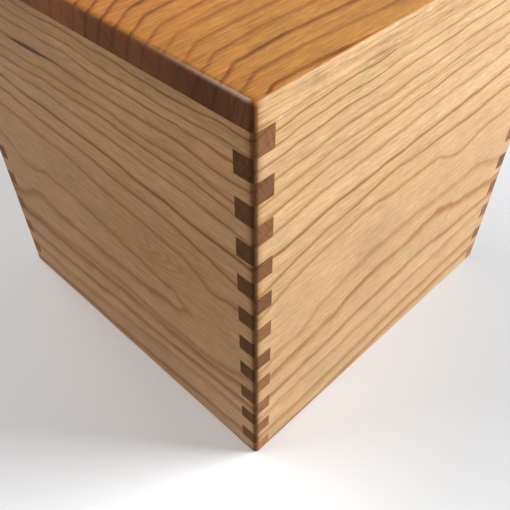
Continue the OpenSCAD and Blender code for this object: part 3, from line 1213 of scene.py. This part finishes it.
@dataclass
class LidSurface(WoodSurface):
    """Cherry of the lid, its grain running front to back and opening out towards the back.

    Lengths are in millimetres, from the middle of the lid or, in fan, hook_end and
    front_end, from its front. A pair says where something begins and where it is full,
    apart from side_cells, the cells of noise along the grain and under the top.
    """

    end_fade: float = 0.75
    # How far the surface has turned to the side faces and to the ends of the grain.
    side_turn: tuple[float, float] = (0.55, 0.85)
    end_turn: tuple[float, float] = (0.50, 0.82)
    # The rings on the top: their gap, the place where they run straight, how much wider they
    # open at the back, the turn aside at the front, and how they lean under the face.
    ring_gap: float = 5.0
    straight_at: float = 56.0
    spread: float = 0.75
    fan: tuple[float, float] = (-25.0, 110.0)
    hook: float = 3.0
    hook_end: float = 9.0
    lean: float = 0.35
    pith_depth: float = 30.0
    line_thickness: float = 0.90
    line_least: float = 0.40
    line_luck: float = 0.7
    # The rings on the side faces: their gap, rings for each millimetre, wander and paleness.
    side_gap: float = 2.9
    side_rings: float = 0.34
    side_cells: tuple[float, float] = (0.03, 0.1)
    side_slice: float = 3.0
    side_roughness: float = 0.55
    side_wander: float = 0.45
    side_paleness: float = 0.74
    # The painted sheen that lightens the top towards the right, and the colours at the front and on the side
    # faces.
    right_stain: Overlay = Overlay(0.6, (0.530, 0.262, 0.070))
    right_places: tuple[float, float] = (10.0, 66.0)
    front_stain: Overlay = Overlay(0.45, (0.450, 0.160, 0.035))
    front_end: float = 16.0
    side_stain: Overlay = Overlay(0.70, (0.769, 0.513, 0.279))
    # The polish on the rim that turns from the top to the front, towards the right.
    rim_turn: tuple[float, float] = (0.34, 0.49)
    polish_places: tuple[float, float] = (28.0, 68.0)
    polish: float = 0.6

    def places(self) -> GrainPlaces:
        """Lays the board's own coordinates over the lid.

        Returns:
            Distance along the grain, distance across the lid, depth under its top and how
            far the surface is turned to end grain.
        """
        sheet = self.sheet
        depth = self.sizes.height - sheet.z
        return GrainPlaces(sheet.y, sheet.x, depth, sheet.normal[1].size().step(*self.end_turn))

    def rings(self, places: GrainPlaces, from_front: Field, side: Field) -> RingField:
        """Works out how the rings run through the lid.

        Args:
            places: Where each point lies in the board.
            from_front: Distance from the front of the lid.
            side: 1 on the left and right faces and 0 on the others.

        Returns:
            The rings.
        """
        sheet = self.sheet
        fan = from_front.step(*self.fan) * self.spread + 1.0
        hook = (1.0 - from_front.step(0.0, self.hook_end)) * self.hook
        offset = (places.up - self.straight_at) / fan - hook
        offset = offset + LID_DRIFT.read(places) + LID_KINK.read(places)
        top_count = (offset + places.depth * self.lean) / self.ring_gap
        along_cells, inward_cells = self.side_cells
        cells = sheet.vector(places.along * along_cells, places.depth * inward_cells, self.side_slice)
        wander = sheet.noise(cells, roughness=self.side_roughness) * self.side_wander
        side_count = places.depth * self.side_rings + wander
        count = top_count + (side_count - top_count) * side
        spacing = self.ring_gap - side * (self.ring_gap - self.side_gap)
        strength = sheet.chance(sheet.math("ROUND", count)) * self.line_luck + self.line_least
        strength = strength * (1.0 - side * self.side_paleness)
        return RingField(count, spacing, strength, self.line_thickness, offset, self.pith_depth)

    def build(self) -> bpy.types.Material:
        """Makes the lid's material.

        Returns:
            The material.
        """
        sheet, places = self.sheet, self.places()
        from_front = places.along + self.sizes.depth / 2
        side = sheet.normal[0].size().step(*self.side_turn)
        # Painted sheen: the top is painted lighter towards the right.
        painted_sheen_right = places.up.step(*self.right_places)
        near_front = 1.0 - from_front.step(0.0, self.front_end)
        amounts = (
            (painted_sheen_right, self.right_stain), (near_front, self.front_stain), (side, self.side_stain))
        stains = [Overlay(amount * overlay.amount, overlay.colour) for amount, overlay in amounts]
        rim = (sheet.normal[1].size() * sheet.normal[2].size()).step(*self.rim_turn)
        polish = rim * places.up.step(*self.polish_places) * self.polish
        return self.finish(self.rings(places, from_front, side), places, stains, polish)


PLAIN_WANDER = NoiseLayer(0.03, 0.04, 0.04, strength=1.4)


@dataclass
class PlainSurface(WoodSurface):
    """Straight-grained wood of the hidden pieces.

    rings_up and rings_deep are the rings for each millimetre in the two directions across
    the grain, and ring_gap their distance in millimetres.
    """

    grain_axis: Axis = Axis.Y
    end_turn: tuple[float, float] = (0.45, 0.9)
    rings_up: float = 0.31
    rings_deep: float = 0.17
    ring_gap: float = 2.8
    line_thickness: float = 0.7
    line_least: float = 0.25
    line_luck: float = 0.4
    pith_depth: float = 60.0

    def build(self) -> bpy.types.Material:
        """Makes the material.

        Returns:
            The material.
        """
        sheet = self.sheet
        axes = [sheet.x, sheet.y, sheet.z]
        along = axes.pop(self.grain_axis.value)
        up, depth = axes
        end = sheet.normal[self.grain_axis.value].size().step(*self.end_turn)
        places = GrainPlaces(along, up, depth, end)
        count = up * self.rings_up + depth * self.rings_deep + PLAIN_WANDER.read(places)
        strength = sheet.chance(sheet.math("ROUND", count)) * self.line_luck + self.line_least
        rings = RingField(count, self.ring_gap, strength, self.line_thickness, up, self.pith_depth)
        return self.finish(rings, places)


# ---------------------------------------------------------------- metal


@dataclass(frozen=True)
class MetalFinish:
    """A bare metal with fine marks and a little tarnish.

    mark_cells and cloud_cells are cells of noise for each millimetre, and relief is the
    depth of the marks in metres.
    """

    name: str
    colour: Colour
    tarnish: Colour
    roughness: float
    mark_cells: float = 4.0
    mark_detail: float = 4.0
    mark_roughness: float = 0.7
    cloud_cells: float = 0.4
    tarnish_cover: float = 0.35
    tarnish_range: float = 0.7
    mark_dulling: float = 0.08
    cloud_dulling: float = 0.06
    relief: float = 0.000008

    def build(self) -> bpy.types.Material:
        """Makes the material.

        Returns:
            The material.
        """
        sheet = Sheet(self.name)
        marks = sheet.noise(sheet.everywhere(self.mark_cells), self.mark_detail, self.mark_roughness)
        cloud = sheet.noise(sheet.everywhere(self.cloud_cells))
        colour = sheet.paint(cloud * self.tarnish_range + self.tarnish_cover, self.colour, self.tarnish)
        sheet.tree.links.new(colour, sheet.shader.inputs["Base Color"])
        sheet.shader.inputs["Metallic"].default_value = 1.0
        rough = marks * self.mark_dulling + cloud * self.cloud_dulling + self.roughness
        sheet.plug(rough, sheet.shader.inputs["Roughness"])
        sheet.relief(marks, self.relief)
        return sheet.material


BRASS = MetalFinish("brass", colour=(0.80, 0.58, 0.24), tarnish=(0.52, 0.34, 0.13), roughness=0.30)
STEEL = MetalFinish("steel", colour=(0.62, 0.62, 0.63), tarnish=(0.42, 0.42, 0.43), roughness=0.24)
MAGNET = MetalFinish("nickel", colour=(0.66, 0.65, 0.61), tarnish=(0.50, 0.49, 0.46), roughness=0.16)


# ---------------------------------------------------------------- the box


@dataclass
class BoxCase:
    """The four walls, the bottom and the rails with their screws."""

    rails: tuple[str, ...] = ("rail_left", "rail_right")
    screws: tuple[str, ...] = ("rail_screws_left", "rail_screws_right")

    def dress(self) -> None:
        """Gives every piece of the case its finish."""
        walls = (
            ("front_wall", FrontWallSurface("cherry_front", CHERRY_FRONT, board=Board.FRONT)),
            ("right_wall", RightWallSurface("cherry_right", CHERRY_WALL, board=Board.RIGHT)),
            ("back_wall", WallSurface("cherry_back", CHERRY_BACK, board=Board.BACK)),
            ("left_wall", WallSurface("cherry_left", CHERRY_LEFT, board=Board.LEFT)),
        )
        for node, surface in walls:
            put_on(surface.build(), node)
        put_on(PlainSurface("cherry_bottom", CHERRY_WALL, grain_axis=Axis.X).build(), "bottom_panel")
        put_on(PlainSurface("maple_rail", MAPLE, grain_axis=Axis.Y).build(), *self.rails)
        put_on(BRASS.build(), *self.screws)


@dataclass
class SlidingLid:
    """The lid with its tail, runners, catch and magnets."""

    runners: tuple[str, ...] = ("runner_left", "runner_right")
    screws: tuple[str, ...] = ("runner_screws_left", "runner_screws_right", "catch_screws")

    def dress(self) -> None:
        """Gives every piece that slides with the lid its finish."""
        put_on(LidSurface("cherry_lid", CHERRY_LID).build(), "lid_panel")
        put_on(WallSurface("cherry_tail", CHERRY_BACK, board=Board.BACK).build(), "lid_tail")
        put_on(PlainSurface("maple_runner", MAPLE, grain_axis=Axis.Y).build(), *self.runners)
        put_on(PlainSurface("maple_dowel", MAPLE, grain_axis=Axis.Z).build(), "tail_dowels")
        put_on(PlainSurface("cherry_catch", CHERRY_LID, grain_axis=Axis.X).build(), "lid_catch")
        put_on(BRASS.build(), *self.screws)
        put_on(MAGNET.build(), "lid_magnets")


@dataclass
class PinLock:
    """The lock block with its sleeves, plugs, screws, magnets and the three pins."""

    plugs: tuple[str, ...] = ("spin_plug_left", "spin_plug_right", "drop_plug")
    brasses: tuple[str, ...] = ("lock_screws", "spin_sleeve_left", "spin_sleeve_right", "drop_sleeve")
    pins: tuple[str, ...] = ("spin_pin_left", "spin_pin_right", "drop_pin")

    def dress(self) -> None:
        """Gives every piece of the lock its finish."""
        put_on(PlainSurface("maple_block", MAPLE, grain_axis=Axis.X).build(), "lock_block")
        put_on(PlainSurface("cherry_plug", CHERRY_LID, grain_axis=Axis.X).build(), *self.plugs)
        put_on(BRASS.build(), *self.brasses)
        put_on(STEEL.build(), *self.pins)
        put_on(MAGNET.build(), "block_magnets")


def put_on(material: bpy.types.Material, *nodes: str) -> None:
    """Gives CAD nodes their finish.

    Args:
        material: The finish.
        nodes: The names of the nodes.
    """
    for node in nodes:
        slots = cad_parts[node].data.materials
        slots.clear()
        slots.append(material)
        LOG.info("%s wears %s", node, material.name)


# ---------------------------------------------------------------- studio


def direction(azimuth: float, elevation: float) -> Vector:
    """Points from the box to where a lamp or the camera stands.

    Args:
        azimuth: Degrees; 0 stands in front of the box, 90 at its right.
        elevation: Degrees above the floor.

    Returns:
        The direction, one unit long.
    """
    turn, rise = math.radians(azimuth), math.radians(elevation)
    return Vector((math.sin(turn) * math.cos(rise), -math.cos(turn) * math.cos(rise), math.sin(rise)))


def seen_itself(tree: bpy.types.NodeTree) -> bpy.types.NodeSocket:
    """Tells the rays that show a surface itself from those that only carry its light on.

    Args:
        tree: The node tree to work in.

    Returns:
        1 for a ray that shows it straight, mirrored or through glass, and 0 for the others.
    """
    rays = tree.nodes.new("ShaderNodeLightPath").outputs
    seen = rays["Is Camera Ray"]
    for kind in ("Is Glossy Ray", "Is Transmission Ray"):
        either = tree.nodes.new("ShaderNodeMath")
        either.operation = "MAXIMUM"
        tree.links.new(seen, either.inputs[0])
        tree.links.new(rays[kind], either.inputs[1])
        seen = either.outputs[0]
    return seen


@dataclass(frozen=True)
class SoftLamp:
    """One square soft light, aimed at the middle of the box.

    azimuth and elevation are in degrees, distance and size in metres and power in watts.
    """

    name: str
    azimuth: float
    elevation: float
    distance: float
    size: float
    power: float
    tint: Colour = (1.0, 1.0, 1.0)

    def place(self, target: Vector) -> None:
        """Hangs the lamp.

        Args:
            target: The point that it shines at.
        """
        data = bpy.data.lights.new(self.name, "AREA")
        data.shape = "SQUARE"
        data.size = self.size
        data.energy = self.power
        data.color = self.tint
        lamp = bpy.data.objects.new(self.name, data)
        bpy.context.scene.collection.objects.link(lamp)
        back = direction(self.azimuth, self.elevation)
        turn = back.to_track_quat("Z", "Y")
        lamp.matrix_world = Matrix.LocRotScale(target + back * self.distance, turn, None)


@dataclass
class Floor:
    """The pale floor, painted darker towards the back right as painted shade.

    size is in metres. shade_cells are cells of noise for each millimetre. The floor turns
    to the far colour, as painted shade, between the two distances to the back right, in millimetres.
    """

    size: float = 6.0
    roughness: float = 0.55
    near: Colour = (0.94, 0.97, 1.0)
    glow: Colour = (0.96, 0.98, 1.0)
    # Painted shade: the colour that the floor darkens to towards the back right.
    far: Colour = (0.66, 0.70, 0.74)
    bounce: Colour = (0.42, 0.42, 0.43)
    shade_cells: float = 0.002
    back_weight: float = 1.1
    far_distances: tuple[float, float] = (-20.0, 160.0)

    def lay(self) -> None:
        """Lays the floor."""
        mesh = bpy.data.meshes.new("floor")
        shape = bmesh.new()
        bmesh.ops.create_grid(shape, x_segments=1, y_segments=1, size=self.size / 2)
        shape.to_mesh(mesh)
        shape.free()
        mesh.materials.append(self.material())
        floor = bpy.data.objects.new("floor", mesh)
        bpy.context.scene.collection.objects.link(floor)

    def material(self) -> bpy.types.Material:
        """Makes the floor's material, darker in the light that it throws back than where it is seen.

        Returns:
            The material.
        """
        sheet = Sheet("floor")
        cells = sheet.vector(sheet.x * self.shade_cells, sheet.y * self.shade_cells, 0.0)
        shade = sheet.noise(cells, detail=1.0) * 0.5 + 0.5
        colour = sheet.paint(shade, self.near, self.glow)
        # Painted shade, darker towards the back right.
        away = (sheet.x + sheet.y * self.back_weight).step(*self.far_distances)
        colour = sheet.paint(away, colour, self.far)
        colour = sheet.paint(Field(sheet, seen_itself(sheet.tree)), self.bounce, colour)
        sheet.tree.links.new(colour, sheet.shader.inputs["Base Color"])
        sheet.shader.inputs["Roughness"].default_value = self.roughness
        return sheet.material


@dataclass
class Studio:
    """Floor, lamps, sky and camera.

    The camera's place is in metres, its lens and principal point in pixels of a square
    image, its sensor in millimetres and its turn in degrees. sky is the light of the room,
    and backdrop how bright its walls look.
    """

    image_width: float = 510.0
    sensor: float = 36.0
    focal_pixels: float = 639.7
    principal: tuple[float, float] = (249.1, 296.1)
    camera_place: tuple[float, float, float] = (0.145416, -0.145584, 0.207733)
    camera_azimuth: float = 45.71
    camera_elevation: float = 48.92
    camera_roll: float = -0.948
    nearest_seen: float = 0.01
    aim_height: float = 0.07
    sky: float = 0.04
    sky_colour: Colour = (0.94, 0.96, 1.0)
    backdrop: float = 0.85
    lamps: tuple[SoftLamp, ...] = (
        SoftLamp("right_window", azimuth=137.0, elevation=25.0, distance=1.0, size=0.5, power=15.3),
        SoftLamp("left_window", azimuth=-42.0, elevation=42.0, distance=1.1, size=0.6, power=4.8,
                 tint=(1.0, 0.97, 0.94)),
        SoftLamp("left_skylight", azimuth=-75.0, elevation=62.0, distance=0.9, size=0.35, power=1.8),
        SoftLamp("back_window", azimuth=200.0, elevation=48.0, distance=1.2, size=0.9, power=1.0),
    )

    def build(self) -> None:
        """Sets the whole studio up."""
        Floor().lay()
        for lamp in self.lamps:
            lamp.place(Vector((0.0, 0.0, self.aim_height)))
        self.light_sky()
        self.stand_camera()
        bpy.context.scene.view_settings.view_transform = "Standard"

    def light_sky(self) -> None:
        """Fills the room with an even light, in front of a pale backdrop."""
        world = bpy.data.worlds.new("room")
        world.use_nodes = True
        nodes, links = world.node_tree.nodes, world.node_tree.links
        background = nodes["Background"]
        background.inputs["Color"].default_value = (*self.sky_colour, 1.0)
        strength = nodes.new("ShaderNodeMath")
        strength.operation = "MULTIPLY_ADD"
        links.new(seen_itself(world.node_tree), strength.inputs[0])
        strength.inputs[1].default_value = self.backdrop - self.sky
        strength.inputs[2].default_value = self.sky
        links.new(strength.outputs[0], background.inputs["Strength"])
        bpy.context.scene.world = world

    def stand_camera(self) -> None:
        """Stands the camera where it sees the near corner from above."""
        data = bpy.data.cameras.new("camera")
        data.sensor_width = self.sensor
        data.lens = self.focal_pixels / self.image_width * self.sensor
        centre = self.image_width / 2
        data.shift_x = (centre - self.principal[0]) / self.image_width
        data.shift_y = (self.principal[1] - centre) / self.image_width
        data.clip_start = self.nearest_seen
        camera = bpy.data.objects.new("camera", data)
        bpy.context.scene.collection.objects.link(camera)
        back = direction(self.camera_azimuth, self.camera_elevation)
        right = Vector((0.0, 0.0, 1.0)).cross(back).normalized()
        upward = back.cross(right)
        roll = math.radians(self.camera_roll)
        rolled_right = right * math.cos(roll) + upward * math.sin(roll)
        rolled_up = upward * math.cos(roll) - right * math.sin(roll)
        pose = Matrix((rolled_right, rolled_up, back)).transposed().to_4x4()
        pose.translation = self.camera_place
        camera.matrix_world = pose
        bpy.context.scene.camera = camera


def main() -> None:
    """Dresses the box piece by piece and sets the studio up."""
    logging.basicConfig(level=logging.INFO, format="%(name)s: %(message)s")
    Studio().build()
    for part in (BoxCase(), SlidingLid(), PinLock()):
        LOG.info("dressing %s", type(part).__name__)
        part.dress()


if __name__ == "__main__":
    main()
